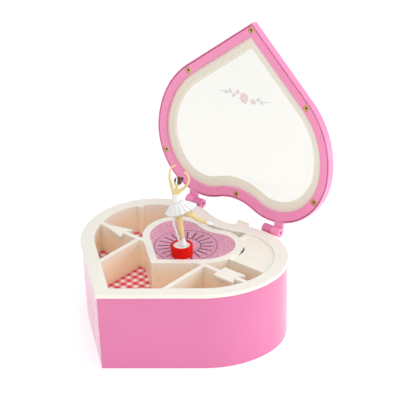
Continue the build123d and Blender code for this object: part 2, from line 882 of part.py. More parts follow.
pin_rows = 18
pins_around = 8
first_pin_angle = 20.0
drum_pin_radius = 0.22
drum_pin_root = 0.3  # how deep each pin sits in the drum
with BuildPart() as music_drum:
    with BuildSketch(train_plane(drum_start, middle_y)):
        Circle(drum_radius)
        Circle(shaft_radius, mode=Mode.SUBTRACT)
    extrude(amount=drum_length)
    # one row of tune pins for each comb tooth, each row turned on from the last by an uneven step
    for row in range(pin_rows):
        pin_x = drum_start + drum_length * (row + 0.5) / pin_rows
        for count in range(2):
            step = (3 * row + 5 * count * row + 4 * count) % pins_around
            turn = first_pin_angle + 360 / pins_around * step
            outward = Plane(
                origin=(pin_x, middle_y, train_z),
                x_dir=(1, 0, 0),
                z_dir=(0, cos(radians(turn)), sin(radians(turn))),
            )
            with BuildSketch(outward.offset(drum_radius - drum_pin_root)):
                Circle(drum_pin_radius)
            extrude(amount=pin_height + drum_pin_root)
write(music_drum, "music_drum")

with BuildPart() as governor_wheel:
    with Locations(train_plane(wheel_start, middle_y).location):
        add(spur_gear(wheel_teeth, wheel_pitch, wheel_wide, **wheel_tooth))
    add(train_rod(wheel_start, shaft_end, middle_y, shaft_radius), mode=Mode.SUBTRACT)
write(governor_wheel, "governor_wheel")

with BuildPart() as air_brake:
    # pinion, spindle and two blades in one piece
    with Locations(train_plane(wheel_start, fan_y).location * Location((0, 0, 0), (0, 0, 180 / fan_teeth))):
        add(spur_gear(fan_teeth, fan_pitch, wheel_wide, **wheel_tooth))
    add(train_rod(wheel_start, fan_start + fan_wide, fan_y, fan_shaft_radius))
    with BuildSketch(train_plane(fan_start, fan_y)):
        Circle(fan_hub_radius)
        Rectangle(2 * fan_reach, fan_blade)
    extrude(amount=fan_wide)
write(air_brake, "air_brake")

bracket_foot = 1.2
bracket_foot_length = 3.0
bracket_top_half = 2.6
fan_cheek_foot = 2.5
fan_cheek_top = 2.0
with BuildPart() as train_bracket:
    with BuildSketch(Plane.XY.offset(bed_top)):
        foot_right = right_upright + upright_thick
        add(block((left_upright, middle_y - upright_half), (foot_right, middle_y + upright_half)))
        cheek_left = right_upright - bracket_foot_length
        add(block((cheek_left, middle_y - upright_half), (foot_right, fan_y + fan_cheek_foot)))
    extrude(amount=bracket_foot)
    for upright in (left_upright, right_upright):
        with BuildSketch(Plane(origin=(upright, middle_y, bed_top), x_dir=(0, 1, 0), z_dir=(1, 0, 0))):
            with BuildLine():
                Polyline(
                    (-upright_half, 0),
                    (upright_half, 0),
                    (bracket_top_half, train_z - bed_top + bracket_top_half),
                    (-bracket_top_half, train_z - bed_top + bracket_top_half),
                    close=True,
                )
            make_face()
        extrude(amount=upright_thick)
    with BuildSketch(Plane(origin=(right_upright, middle_y, bed_top), x_dir=(0, 1, 0), z_dir=(1, 0, 0))):
        with BuildLine():
            Polyline(
                (0, 0),
                (fan_y - middle_y + fan_cheek_foot, 0),
                (fan_y - middle_y + fan_cheek_top, train_z - bed_top + fan_cheek_top),
                (0, train_z - bed_top + fan_cheek_top),
                close=True,
            )
        make_face()
    extrude(amount=upright_thick)
    drum_bore = train_rod(0, shaft_end, middle_y, shaft_radius + pin_clearance)
    add(drum_bore, mode=Mode.SUBTRACT)
    fan_bore = train_rod(wheel_start, shaft_end, fan_y, fan_shaft_radius + pin_clearance)
    add(fan_bore, mode=Mode.SUBTRACT)
write(train_bracket, "train_bracket")

comb_teeth = 18
comb_thick = 0.8
comb_gap = 0.35
comb_slot = 0.3
comb_front = middle_y - drum_radius - pin_height - comb_gap
comb_tooth_length = 9.0
comb_back_width = 6.0
comb_root = comb_front - comb_tooth_length
comb_back = comb_root - comb_back_width
comb_left = drum_start
comb_right = drum_start + drum_length
comb_screw_in = 3.5
comb_screw_xs = (comb_left + comb_screw_in, comb_right - comb_screw_in)
comb_screw_y = (comb_root + comb_back) / 2

with BuildPart() as comb_base:
    with BuildSketch(Plane.XY.offset(bed_top)):
        add(block((comb_left, comb_back), (comb_right, comb_root)))
        for screw_x in comb_screw_xs:
            with Locations((screw_x, comb_screw_y)):
                Circle(screw_radius + screw_pilot_gap, mode=Mode.SUBTRACT)
    extrude(amount=train_z - comb_thick / 2 - bed_top)
write(comb_base, "comb_base")

with BuildPart() as music_comb:
    with BuildSketch(Plane.XY.offset(train_z - comb_thick / 2)):
        add(block((comb_left, comb_back), (comb_right, comb_front)))
        for cut in range(1, comb_teeth):
            cut_x = comb_left + drum_length * cut / comb_teeth
            cut_end = (cut_x + comb_slot / 2, comb_front)
            add(block((cut_x - comb_slot / 2, comb_root), cut_end), mode=Mode.SUBTRACT)
        for screw_x in comb_screw_xs:
            with Locations((screw_x, comb_screw_y)):
                Circle(screw_radius + screw_pilot_gap, mode=Mode.SUBTRACT)
    extrude(amount=comb_thick)
write(music_comb, "music_comb")

comb_screw_length = 7.0
comb_screw_top = train_z + comb_thick / 2 + screw_head_height
with BuildPart() as comb_screws:
    for screw_x in comb_screw_xs:
        head = Plane(origin=(screw_x, comb_screw_y, comb_screw_top), x_dir=(1, 0, 0), z_dir=(0, 0, -1))
        with Locations(head.location):
            add(screw(comb_screw_length, False))
write(comb_screws, "comb_screws")

# ------------------------------------------------------------------ stage drive

arm_thick = 1.6
arm_bottom = arbor_top - arm_thick
arm_half = 3.5
arm_end_radius = 4.5
magnet_pin_radius = 1.2
magnet_gap = 0.3
magnet_bottom = arbor_top + magnet_gap
magnet_thick = 4.0
magnet_pin_tail = 1.5  # how far the magnet's pin shows below the arm

with BuildPart() as magnet_arm:
    with BuildSketch(Plane.XY.offset(arm_bottom)):
        with BuildLine():
            across = (arm_half * -sin(radians(orbit_angle)), arm_half * cos(radians(orbit_angle)))
            Polyline(
                (middle_x + across[0], middle_y + across[1]),
                (orbit_x + across[0], orbit_y + across[1]),
                (orbit_x - across[0], orbit_y - across[1]),
                (middle_x - across[0], middle_y - across[1]),
                close=True,
            )
        make_face()
        with Locations(tower_middle, (orbit_x, orbit_y)):
            Circle(arm_end_radius)
        with Locations(tower_middle):
            Circle(arbor_radius, mode=Mode.SUBTRACT)
        with Locations((orbit_x, orbit_y)):
            Circle(magnet_pin_radius + pin_clearance, mode=Mode.SUBTRACT)
    extrude(amount=arm_thick)
write(magnet_arm, "magnet_arm")

with BuildPart() as drive_magnet:
    with BuildSketch(Plane.XY.offset(magnet_bottom)):
        with Locations((orbit_x, orbit_y)):
            Circle(magnet_radius)
    extrude(amount=magnet_thick)
    with BuildSketch(Plane.XY.offset(arm_bottom - magnet_pin_tail)):
        with Locations((orbit_x, orbit_y)):
            Circle(magnet_pin_radius)
    extrude(amount=magnet_bottom - arm_bottom + magnet_pin_tail)
write(drive_magnet, "drive_magnet")

# ------------------------------------------------------------------ stop lever

lever_z = 34.7
lever_thick = 1.6
lever_half = 2.0
lever_eye_radius = 3.0
lever_post_radius = 2.4
lever_tip_angle = slot_start + slot_sweep / 2
lever_tip_width = 0.7
lever_tip_length = 3.0
lever_pin_radius = 1.2
brake_angle = -12.0
brake_reach = 18.0
tip_stands = 0.4  # how far the finger stands out of the panel
tip_top = panel_top + tip_stands


def lever_bar(angle, start, end, half):
    """A straight bar at this angle about the lever's pivot, between two radii."""
    with BuildSketch() as bar:
        with BuildLine():
            c, s = cos(radians(angle)), sin(radians(angle))
            Polyline(
                (slot_pivot[0] + start * c - half * s, slot_pivot[1] + start * s + half * c),
                (slot_pivot[0] + start * c + half * s, slot_pivot[1] + start * s - half * c),
                (slot_pivot[0] + end * c + half * s, slot_pivot[1] + end * s - half * c),
                (slot_pivot[0] + end * c - half * s, slot_pivot[1] + end * s + half * c),
                close=True,
            )
        make_face()
    return bar.sketch


with BuildPart() as stop_lever:
    with BuildSketch(Plane.XY.offset(lever_z)):
        with Locations(slot_pivot):
            Circle(lever_eye_radius)
        add(lever_bar(lever_tip_angle, 0, slot_radius + lever_tip_width / 2, lever_half))
        add(lever_bar(brake_angle, 0, brake_reach, lever_half))
        with Locations(slot_pivot):
            Circle(lever_pin_radius + pin_clearance, mode=Mode.SUBTRACT)
    extrude(amount=lever_thick)
    # upright finger that reaches the arc slot in the panel
    with BuildSketch(Plane.XY.offset(lever_z)):
        add(
            lever_bar(
                lever_tip_angle,
                slot_radius - lever_tip_width / 2,
                slot_radius + lever_tip_width / 2,
                lever_tip_length / 2,
            )
        )
    extrude(amount=tip_top - lever_z)
write(stop_lever, "stop_lever")

with BuildPart() as lever_post:
    with BuildSketch(Plane.XY.offset(bed_top)):
        with Locations(slot_pivot):
            Circle(lever_post_radius)
    extrude(amount=lever_z - fit_gap - bed_top)
    with BuildSketch(Plane.XY.offset(bed_top)):
        with Locations(slot_pivot):
            Circle(lever_pin_radius)
    extrude(amount=lever_z + lever_thick + 2 * fit_gap - bed_top)
write(lever_post, "lever_post")

# ------------------------------------------------------------------ magnetic figure

disc_thick = 1.5
disc_top = cup_height - disc_drop
figure_magnet_thick = 2.5
figure_magnet_radius = 5.5
cup_round = 0.8


def on_stage(lateral, height, forward=0.0):
    """A point of the figure: along its shoulder line, above the stage, and towards its front."""
    c, s = cos(radians(shoulder_turn)), sin(radians(shoulder_turn))
    return orbit_x + lateral * c + forward * s, orbit_y + lateral * s - forward * c, stage_top + height


def limb(points, radii):
    """A round limb that tapers from each point to the next, with a ball at every point."""
    with BuildPart() as shape:
        for start, end, start_radius, end_radius in zip(points, points[1:], radii, radii[1:]):
            along = Vector(*end) - Vector(*start)
            first = Plane(origin=start, z_dir=along)
            with BuildSketch(first):
                Circle(start_radius)
            with BuildSketch(first.offset(along.length)):
                Circle(end_radius)
            loft()
        for point, radius in zip(points, radii):
            with Locations(point):
                Sphere(radius)
    return shape.part


with BuildPart() as figure_cup:
    with BuildSketch(Plane.XY.offset(stage_top)):
        with Locations((orbit_x, orbit_y)):
            Circle(cup_radius)
    extrude(amount=cup_height)
    fillet(figure_cup.faces().sort_by(Axis.Z)[-1].edges(), cup_round)
    with BuildSketch(Plane.XY.offset(stage_top + cup_floor)):
        with Locations((orbit_x, orbit_y)):
            Circle(cup_radius - cup_wall)
    extrude(amount=cup_height, mode=Mode.SUBTRACT)
write(figure_cup, "figure_cup")

with BuildPart() as figure_magnet:
    with BuildSketch(Plane.XY.offset(stage_top + cup_floor)):
        with Locations((orbit_x, orbit_y)):
            Circle(figure_magnet_radius)
    extrude(amount=figure_magnet_thick)
write(figure_magnet, "figure_magnet")

with BuildPart() as figure_disc:
    with BuildSketch(Plane.XY.offset(stage_top + disc_top - disc_thick)):
        with Locations((orbit_x, orbit_y)):
            Circle(cup_radius - cup_wall - pin_clearance)
    extrude(amount=disc_thick)
write(figure_disc, "figure_disc")

with BuildPart() as dancer:
    # standing leg and shoe, with the foot on the disc
    leg = [on_stage(1.5, disc_top + 1.2), on_stage(1.1, 14.0), on_stage(0.0, 23.0), on_stage(-1.0, 33.0)]
    add(limb(leg, [1.2, 1.25, 1.8, 2.3]))
    # raised leg, out behind with the knee a little bent
    raised_leg = [
        on_stage(1.0, 36.2, 0.6),
        on_stage(12.4, 32.9, 7.3),
        on_stage(16.2, 31.6, 9.5),
        on_stage(22.4, 31.6, 13.2),
    ]
    add(limb(raised_leg, [2.4, 1.8, 1.3, 0.9]))
    # trunk, neck and head
    add(limb([on_stage(-1.0, 34.5), on_stage(-3.0, 43.0), on_stage(-2.6, 50.5)], [2.6, 2.2, 2.7]))
    add(limb([on_stage(-2.6, 50.5), on_stage(-2.0, 56.0)], [1.5, 1.2]))
    add(limb([on_stage(-1.8, 57.4), on_stage(-1.3, 59.8)], [2.4, 3.0]))
    # arms rounded over the head
    left_arm = [on_stage(-5.0, 52.6), on_stage(-6.9, 63.6), on_stage(-5.6, 70.8), on_stage(-2.8, 72.9)]
    right_arm = [on_stage(-0.2, 52.2), on_stage(6.2, 58.6), on_stage(6.2, 63.8), on_stage(3.6, 67.2)]
    for arm in (left_arm, right_arm):
        add(limb(arm, [1.2, 1.0, 0.85, 0.8]))
    add(limb([left_arm[0], right_arm[0]], [1.2, 1.2]))
write(dancer, "dancer")

hair_radius = 3.35
bun_radius = 1.5
with BuildPart() as dancer_hair:
    with Locations(on_stage(-0.9, 60.6)):
        Sphere(hair_radius)
    with Locations(on_stage(2.0, 62.2)):
        Sphere(bun_radius)
    add(dancer.part, mode=Mode.SUBTRACT)
write(dancer_hair, "dancer_hair")

tutu_half_width = 11.7
tutu_half_depth = 6.8
tutu_hem = 0.8
waist_half_width = 3.0
waist_half_depth = 2.5
tutu_tilt = 17.0
hem_middle = on_stage(0.5, 36.4)
waist_middle = on_stage(-2.2, 43.6)
tutu_across = Vector(
    cos(radians(tutu_tilt)) * cos(radians(shoulder_turn)),
    cos(radians(tutu_tilt)) * sin(radians(shoulder_turn)),
    sin(radians(tutu_tilt)),
)
tutu_front = Vector(sin(radians(shoulder_turn)), -cos(radians(shoulder_turn)), 0)
tutu_up = tutu_across.cross(-tutu_front)
tutu_plane = Plane(origin=hem_middle, x_dir=tutu_across, z_dir=tutu_up)
bodice = [waist_middle, on_stage(-2.6, 49.6)]
with BuildPart() as dancer_dress:
    with BuildSketch(tutu_plane):
        Ellipse(tutu_half_width, tutu_half_depth)
    extrude(amount=tutu_hem)
    with BuildSketch(tutu_plane.offset(tutu_hem)):
        Ellipse(tutu_half_width, tutu_half_depth)
    with BuildSketch(Plane(origin=waist_middle, x_dir=tutu_across, z_dir=tutu_up)):
        Ellipse(waist_half_width, waist_half_depth)
    loft()
    add(limb(bodice, [2.7, 3.3]))
    add(dancer.part, mode=Mode.SUBTRACT)
write(dancer_dress, "dancer_dress")

strut_radius = 0.9
with BuildPart() as figure_strut:
    strut = [on_stage(-0.9, disc_top + strut_radius), on_stage(-5.4, 26.0), on_stage(-2.4, 36.5)]
    add(limb(strut, [strut_radius] * len(strut)))
    add(dancer.part, mode=Mode.SUBTRACT)
    add(dancer_dress.part, mode=Mode.SUBTRACT)
write(figure_strut, "figure_strut")
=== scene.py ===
"""Heart-shaped ballerina jewellery box: finishes, the dancer, the window's print, light and camera."""

import json
import math

import bmesh
import bpy
from mathutils import Matrix, Vector


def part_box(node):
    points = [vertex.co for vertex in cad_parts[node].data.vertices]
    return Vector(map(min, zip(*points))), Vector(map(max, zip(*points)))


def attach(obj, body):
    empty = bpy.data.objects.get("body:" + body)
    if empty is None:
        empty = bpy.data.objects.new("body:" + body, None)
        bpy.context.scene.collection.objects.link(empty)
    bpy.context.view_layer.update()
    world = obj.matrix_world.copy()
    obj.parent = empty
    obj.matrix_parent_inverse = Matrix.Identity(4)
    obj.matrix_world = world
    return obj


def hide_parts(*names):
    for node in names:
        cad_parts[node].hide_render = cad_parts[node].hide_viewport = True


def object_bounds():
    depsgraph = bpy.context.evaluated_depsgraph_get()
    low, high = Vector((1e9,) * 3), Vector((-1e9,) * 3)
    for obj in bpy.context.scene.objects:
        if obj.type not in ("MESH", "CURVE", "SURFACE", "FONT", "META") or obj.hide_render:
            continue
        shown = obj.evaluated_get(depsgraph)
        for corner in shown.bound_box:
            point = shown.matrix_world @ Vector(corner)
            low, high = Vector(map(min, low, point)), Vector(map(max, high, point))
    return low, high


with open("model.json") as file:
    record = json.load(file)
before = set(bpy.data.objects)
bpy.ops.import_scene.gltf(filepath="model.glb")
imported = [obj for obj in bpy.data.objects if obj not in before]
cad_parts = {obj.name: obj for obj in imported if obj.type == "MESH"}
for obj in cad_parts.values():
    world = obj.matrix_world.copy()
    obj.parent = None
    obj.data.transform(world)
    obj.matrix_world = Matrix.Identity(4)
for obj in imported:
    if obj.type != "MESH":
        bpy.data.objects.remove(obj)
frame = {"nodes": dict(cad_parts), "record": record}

CAD_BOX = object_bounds()
MM = 0.001

# ------------------------------------------------------------------ shader helpers


def put(tree, kind, settings=None, **inputs):
    """A new node: settings are its own properties, and each input is a value or another node's output.

    An input is named with _ for each space, or numbered: i0 is the first.
    """
    made = tree.nodes.new(kind)
    for key, value in (settings or {}).items():
        setattr(made, key, value)
    for key, value in inputs.items():
        numbered = key[0] == "i" and key[1:].isdigit()
        socket = made.inputs[int(key[1:]) if numbered else key.replace("_", " ")]
        if isinstance(value, bpy.types.NodeSocket):
            tree.links.new(value, socket)
        else:
            socket.default_value = value
    return made


def maths(tree, operation, a, b=0.0, clamp=False):
    """The result of one sum, whose terms are numbers or outputs."""
    return put(tree, "ShaderNodeMath", {"operation": operation, "use_clamp": clamp}, i0=a, i1=b).outputs[0]


def spread(tree, value, low, high, to_low, to_high):
    """A value carried from one range to another."""
    made = put(tree, "ShaderNodeMapRange", None, Value=value, From_Min=low, From_Max=high)
    made.inputs["To Min"].default_value = to_low
    made.inputs["To Max"].default_value = to_high
    return made.outputs[0]


def blend_colours(tree, share, first, second):
    """Two colours mixed by a share."""
    made = put(tree, "ShaderNodeMix", {"data_type": "RGBA"}, i0=share, i6=first, i7=second)
    return made.outputs[2]


def cloud(tree, where, scale, detail=2.0, rough=0.5):
    """Soft noise from 0 to 1."""
    made = put(tree, "ShaderNodeTexNoise", None, Vector=where, Scale=scale, Detail=detail, Roughness=rough)
    return made.outputs[0]


def raised(tree, height, depth, strength=1.0, base=None):
    """A normal bent by a height that is worth this depth in metres."""
    made = put(tree, "ShaderNodeBump", None, Height=height, Distance=depth, Strength=strength)
    if base is not None:
        tree.links.new(base, made.inputs["Normal"])
    return made.outputs[0]


def start(name):
    """A material with its principled shader and the piece's own coordinates."""
    material = bpy.data.materials.new(name)
    material.use_nodes = True
    tree = material.node_tree
    shader = tree.nodes["Principled BSDF"]
    where = put(tree, "ShaderNodeTexCoord").outputs["Object"]
    return material, tree, shader, where


def shade(colour, factor):
    """A darker or lighter copy of a colour."""
    return tuple(min(1.0, c * factor) for c in colour[:3]) + (1.0,)


PLASTIC_IOR = 1.49
COAT_ROUGH = 0.07
GLOW_DEPTH = 2.5 * MM  # how far light spreads inside the pale plastics


def moulded_plastic(
    name,
    colour,
    rough=0.24,
    edge=0.35,
    coat=0.25,
    variation=0.05,
    inner=0.0,
    peel=0.004,
    gloss=0.5,
    deep=None,
):
    """Glossy moulded plastic: soft edges, a faint orange peel and slightly uneven colour and gloss.

    edge is the radius of the softened edges and peel the depth of the orange peel, in millimetres. inner is
    the share of light that spreads inside. deep is (colour, upper height, lower height) for painted shade and
    bounce light: the wall turns to that colour between those heights.
    """
    material, tree, shader, where = start(name)
    flow = cloud(tree, where, 14.0, 3.0)
    tint = blend_colours(tree, flow, shade(colour, 1 - variation), shade(colour, 1 + variation))
    # painted shade and bounce light: below the upper height the wall's colour blends towards the deep colour
    if deep:
        inside, upper, lower = deep
        height = put(tree, "ShaderNodeSeparateXYZ", None, Vector=where).outputs["Z"]
        tint = blend_colours(tree, spread(tree, height, lower, upper, 1.0, 0.0), tint, shade(inside, 1.0))
    fine = cloud(tree, where, 420.0, 2.0)
    smudge = cloud(tree, where, 30.0, 2.0)
    tree.links.new(tint, shader.inputs["Base Color"])
    tree.links.new(spread(tree, smudge, 0.3, 0.7, rough * 0.8, rough * 1.35), shader.inputs["Roughness"])
    soft = put(tree, "ShaderNodeBevel", {"samples": 6}, Radius=edge * MM).outputs[0]
    tree.links.new(raised(tree, fine, peel * MM, 0.4, soft), shader.inputs["Normal"])
    shader.inputs["Coat Weight"].default_value = coat
    shader.inputs["Coat Roughness"].default_value = COAT_ROUGH
    shader.inputs["IOR"].default_value = PLASTIC_IOR
    shader.inputs["Specular IOR Level"].default_value = gloss
    if inner:
        shader.inputs["Subsurface Weight"].default_value = inner
        shader.inputs["Subsurface Radius"].default_value = (1.0, 0.55, 0.35)
        shader.inputs["Subsurface Scale"].default_value = GLOW_DEPTH
    return material


def turned_metal(name, colour, rough, grain=900.0, tarnish=0.12, hollow=1.2):
    """Plain machined metal with fine tool marks and slightly dulled patches.

    Hollows up to this size, in millimetres, are darkened with painted shade.
    """
    material, tree, shader, where = start(name)
    patch = cloud(tree, where, 180.0, 4.0, 0.6)
    marks = cloud(tree, where, grain, 1.0)
    tint = blend_colours(tree, patch, shade(colour, 1 - tarnish), shade(colour, 1 + tarnish))
    # painted shade: the colour turns almost black in hollows and recesses, such as the screw sockets
    near = {"samples": 8, "only_local": True}
    openness = put(tree, "ShaderNodeAmbientOcclusion", near, Distance=hollow * MM)
    unshaded_share = spread(tree, openness.outputs["AO"], 0.45, 0.85, 0.0, 1.0)
    tint = blend_colours(tree, unshaded_share, shade(colour, 0.08), tint)
    tree.links.new(tint, shader.inputs["Base Color"])
    tree.links.new(spread(tree, patch, 0.3, 0.7, rough * 0.75, rough * 1.4), shader.inputs["Roughness"])
    soft = put(tree, "ShaderNodeBevel", {"samples": 4}, Radius=0.12 * MM).outputs[0]
    tree.links.new(raised(tree, marks, 0.006 * MM, 0.6, soft), shader.inputs["Normal"])
    shader.inputs["Metallic"].default_value = 1.0
    return material


THREAD_PITCH = 0.42 * MM
STRIPE_INSIDE, STRIPE_OUTSIDE = 0.235, 0.265  # a stripe's soft edge, in pitches from its middle
WHOLE_PITCHES = 100.0  # added before a remainder is taken, so that it is never negative


def gingham(name, pitch, white, half, full):
    """Checked lining: stripes both ways, the full colour where they cross, over a fine weave."""
    material, tree, shader, where = start(name)
    parts = put(tree, "ShaderNodeSeparateXYZ", None, Vector=where)
    wobble = cloud(tree, where, 900.0, 2.0)
    stripes, threads = [], []
    for axis in ("X", "Y"):
        along = maths(tree, "DIVIDE", parts.outputs[axis], pitch)
        turn = maths(tree, "FRACT", maths(tree, "ADD", along, WHOLE_PITCHES))
        reach = maths(tree, "ABSOLUTE", maths(tree, "SUBTRACT", turn, 0.5))
        shake = maths(tree, "MULTIPLY", maths(tree, "SUBTRACT", wobble, 0.5), 0.05)
        uneven = maths(tree, "ADD", reach, shake)
        stripes.append(spread(tree, uneven, STRIPE_INSIDE, STRIPE_OUTSIDE, 1.0, 0.0))
        thread = maths(tree, "SINE", maths(tree, "MULTIPLY", parts.outputs[axis], 2 * math.pi / THREAD_PITCH))
        threads.append(maths(tree, "ABSOLUTE", thread))
    one = blend_colours(tree, maths(tree, "MAXIMUM", stripes[0], stripes[1]), white, half)
    both = blend_colours(tree, maths(tree, "MULTIPLY", stripes[0], stripes[1]), one, full)
    tree.links.new(both, shader.inputs["Base Color"])
    weave = maths(tree, "MULTIPLY", threads[0], threads[1])
    tree.links.new(raised(tree, weave, 0.05 * MM, 0.6), shader.inputs["Normal"])
    tree.links.new(spread(tree, weave, 0.0, 1.0, 0.85, 0.6), shader.inputs["Roughness"])
    shader.inputs["Sheen Weight"].default_value = 0.15
    return material


def ring_mask(tree, radius, centre, half_width):
    """1 on a thin circle of this radius, 0 elsewhere."""
    off = maths(tree, "ABSOLUTE", maths(tree, "SUBTRACT", radius, centre))
    return spread(tree, off, half_width * 0.6, half_width, 1.0, 0.0)


DIAL_MIDDLE = (2.2 * MM, 20.5 * MM)
DIAL_DASHES = 20
DIAL_PHASE = 50.5  # in dashes; the whole part keeps the remainder from going negative
DASH_HALF_WIDTH = (0.50 * MM, 0.68 * MM)  # full ink inside the first number, none beyond the second
DASH_START = (10.9 * MM, 11.3 * MM)
DASH_END = (20.8 * MM, 21.2 * MM)
OUTER_RING = (23.4 * MM, 0.42 * MM, 0.85)  # radius, half width and share of ink
INNER_RING = (11.2 * MM, 0.50 * MM, 0.9)


def glitter_foil(name, colour, light, ink):
    """Glitter foil with a printed dial: two circles and a ring of radial dashes."""
    material, tree, shader, where = start(name)
    flakes = put(tree, "ShaderNodeTexVoronoi", None, Vector=where, Scale=1500.0)
    chance = put(tree, "ShaderNodeSeparateColor", None, Color=flakes.outputs["Color"])
    coarse = put(tree, "ShaderNodeTexVoronoi", {"feature": "DISTANCE_TO_EDGE"}, Vector=where, Scale=420.0)
    veins = spread(tree, coarse.outputs["Distance"], 0.0, 0.12, 1.0, 0.0)
    sparkle = spread(tree, chance.outputs[0], 0.55, 1.0, 0.0, 1.0)
    ground = blend_colours(tree, sparkle, colour, light)
    ground = blend_colours(tree, maths(tree, "MULTIPLY", veins, 0.35), ground, shade(colour, 0.6))
    place = put(tree, "ShaderNodeSeparateXYZ", None, Vector=where)
    x = maths(tree, "SUBTRACT", place.outputs["X"], DIAL_MIDDLE[0])
    y = maths(tree, "SUBTRACT", place.outputs["Y"], DIAL_MIDDLE[1])
    squares = maths(tree, "ADD", maths(tree, "MULTIPLY", x, x), maths(tree, "MULTIPLY", y, y))
    radius = maths(tree, "SQRT", squares)
    sector = 2 * math.pi / DIAL_DASHES
    sectors = maths(tree, "DIVIDE", maths(tree, "ARCTAN2", y, x), sector)
    turn = maths(tree, "FRACT", maths(tree, "ADD", sectors, DIAL_PHASE))
    reach = maths(tree, "MULTIPLY", maths(tree, "ABSOLUTE", maths(tree, "SUBTRACT", turn, 0.5)), sector)
    across = maths(tree, "MULTIPLY", reach, radius)
    dash = spread(tree, across, *DASH_HALF_WIDTH, 1.0, 0.0)
    inside = spread(tree, radius, *DASH_END, 1.0, 0.0)
    outside = spread(tree, radius, *DASH_START, 0.0, 1.0)
    dash = maths(tree, "MULTIPLY", dash, maths(tree, "MULTIPLY", inside, outside))
    rings = [
        maths(tree, "MULTIPLY", ring_mask(tree, radius, centre, half_width), strength)
        for centre, half_width, strength in (OUTER_RING, INNER_RING)
    ]
    printed = maths(tree, "MAXIMUM", dash, maths(tree, "MAXIMUM", rings[0], rings[1]))
    tint = blend_colours(tree, maths(tree, "MULTIPLY", printed, 0.94), ground, ink)
    tree.links.new(tint, shader.inputs["Base Color"])
    shine = spread(tree, sparkle, 0.0, 1.0, 0.25, 0.7)
    metal = maths(tree, "MULTIPLY", maths(tree, "SUBTRACT", 1.0, printed), shine)
    tree.links.new(metal, shader.inputs["Metallic"])
    tree.links.new(spread(tree, chance.outputs[1], 0.0, 1.0, 0.18, 0.5), shader.inputs["Roughness"])
    tree.links.new(raised(tree, chance.outputs[2], 0.05 * MM, 0.5), shader.inputs["Normal"])
    return material


def clear_sheet(name, tint, rough=0.02):
    """Clear sheet: what is behind shows through, with a reflection that grows towards the edge of sight."""
    material = bpy.data.materials.new(name)
    material.use_nodes = True
    tree = material.node_tree
    tree.nodes.clear()
    where = put(tree, "ShaderNodeTexCoord").outputs["Object"]
    haze = cloud(tree, where, 30.0, 3.0)
    colour = blend_colours(tree, haze, shade(tint, 0.985), shade(tint, 1.0))
    through = put(tree, "ShaderNodeBsdfTransparent", None, Color=colour)
    wave = raised(tree, cloud(tree, where, 25.0, 1.0), 0.04 * MM, 0.3)
    shine = put(tree, "ShaderNodeBsdfGlossy", None, Roughness=rough, Normal=wave)
    edge = put(tree, "ShaderNodeFresnel", None, IOR=PLASTIC_IOR)
    inner_face = put(tree, "ShaderNodeNewGeometry").outputs["Backfacing"]
    share = maths(tree, "MULTIPLY", edge.outputs[0], maths(tree, "SUBTRACT", 1.0, inner_face))
    mixed = put(tree, "ShaderNodeMixShader", None, i0=share, i1=through.outputs[0], i2=shine.outputs[0])
    out = put(tree, "ShaderNodeOutputMaterial")
    tree.links.new(mixed.outputs[0], out.inputs["Surface"])
    return material


def painted(name, colour, rough=0.45, variation=0.06, inner=0.0, grain=300.0, depth=0.012):
    """Brush-painted doll plastic."""
    material, tree, shader, where = start(name)
    patch = cloud(tree, where, grain, 3.0)
    tint = blend_colours(tree, patch, shade(colour, 1 - variation), shade(colour, 1 + variation))
    tree.links.new(tint, shader.inputs["Base Color"])
    tree.links.new(spread(tree, patch, 0.3, 0.7, rough * 0.8, rough * 1.25), shader.inputs["Roughness"])
    tree.links.new(raised(tree, cloud(tree, where, grain * 4, 2.0), depth * MM, 0.5), shader.inputs["Normal"])
    if inner:
        shader.inputs["Subsurface Weight"].default_value = inner
        shader.inputs["Subsurface Radius"].default_value = (1.0, 0.5, 0.3)
        shader.inputs["Subsurface Scale"].default_value = 1.0 * MM
    return material


# painted light: the tray's pocket walls turn warm peach below the rim, painted bounce light and shade; the
# rim keeps the ivory
TRAY_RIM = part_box("tray")[1].z
WALL_PAINTED_BOUNCE_SHADE = ((1.0, 0.85, 0.63), TRAY_RIM - 1.5 * MM, TRAY_RIM - 12.0 * MM)
PALE = dict(rough=0.34, edge=0.3, coat=0.1, variation=0.015)
SHINY = dict(rough=0.20, peel=0.001)

pink = moulded_plastic("pink_plastic", (0.74, 0.19, 0.395), edge=0.8, coat=0.35, **SHINY)
# painted light: a lighter copy of the case's pink for the lid, painting the extra light the lid catches
lid_pink_painted_light = moulded_plastic("pink_plastic_painted_lighter", (0.92, 0.285, 0.52), edge=0.6, coat=0.45, **SHINY)
# the ivory carries the painted bounce light and shade on its pocket walls
ivory = moulded_plastic("ivory_plastic", (0.90, 0.875, 0.80), inner=0.3, deep=WALL_PAINTED_BOUNCE_SHADE, **PALE)
# painted shade: a darker, yellower copy of the ivory plastic for the lid's bezel
ivory_painted_shade = moulded_plastic("bezel_ivory_painted_shade", (0.86, 0.83, 0.70), inner=0.12, **PALE)
foil = glitter_foil("foil", (0.82, 0.34, 0.52, 1), (0.98, 0.72, 0.82, 1), (0.03, 0.014, 0.025, 1))
checks = gingham("gingham", 6.4 * MM, (0.87, 0.80, 0.76, 1), (0.78, 0.25, 0.28, 1), (0.72, 0.018, 0.05, 1))
clear = clear_sheet("clear_acrylic", (0.925, 0.922, 0.90))
brass = turned_metal("brass", (0.66, 0.47, 0.17), 0.28)
steel = turned_metal("steel", (0.60, 0.60, 0.62), 0.30)
red = moulded_plastic(
    "red_plastic", (0.74, 0.005, 0.003), rough=0.22, edge=0.25, coat=0.0, variation=0.04, gloss=0.12
)
white = moulded_plastic(
    "white_plastic", (0.88, 0.88, 0.87), rough=0.32, edge=0.15, coat=0.05, variation=0.01, inner=0.1
)
black = moulded_plastic(
    "black_plastic", (0.022, 0.016, 0.016), rough=0.45, edge=0.15, coat=0.0, variation=0.1
)
magnet = painted("magnet", (0.06, 0.06, 0.065), rough=0.55)
